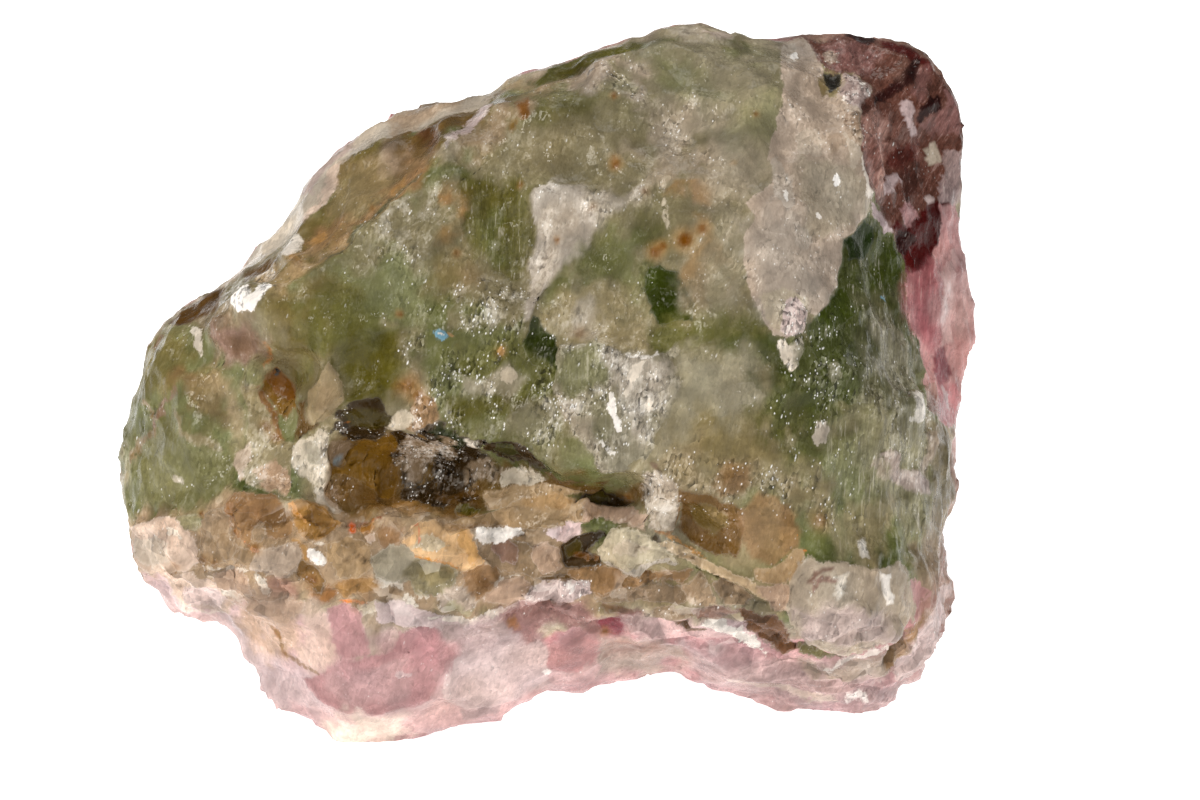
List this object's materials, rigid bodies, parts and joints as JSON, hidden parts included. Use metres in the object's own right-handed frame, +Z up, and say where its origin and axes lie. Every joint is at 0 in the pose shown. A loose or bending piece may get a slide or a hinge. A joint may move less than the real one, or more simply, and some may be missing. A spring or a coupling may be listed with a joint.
{
  "type": "rough fluorite",
  "caption": "Rough broken chunk of colour-zoned fluorite, green over an ochre-stained ledge and a pink to wine-red layer, standing on the small flats of its lower lobes.",
  "frame": {"origin": "on the resting plane, under the middle of the stone's bounding box", "axes": "+Z up from the resting flats; +Y from the green front face towards the back; +X to the right seen from the front, along the stone's length"},
  "size_m": [0.0612, 0.039, 0.0469],
  "materials": {
    "fluorite": "broken, translucent, waxy to glassy"
  },
  "bodies": {
    "root": {"fluorite": "fluorite"}
  },
  "joints": []
}
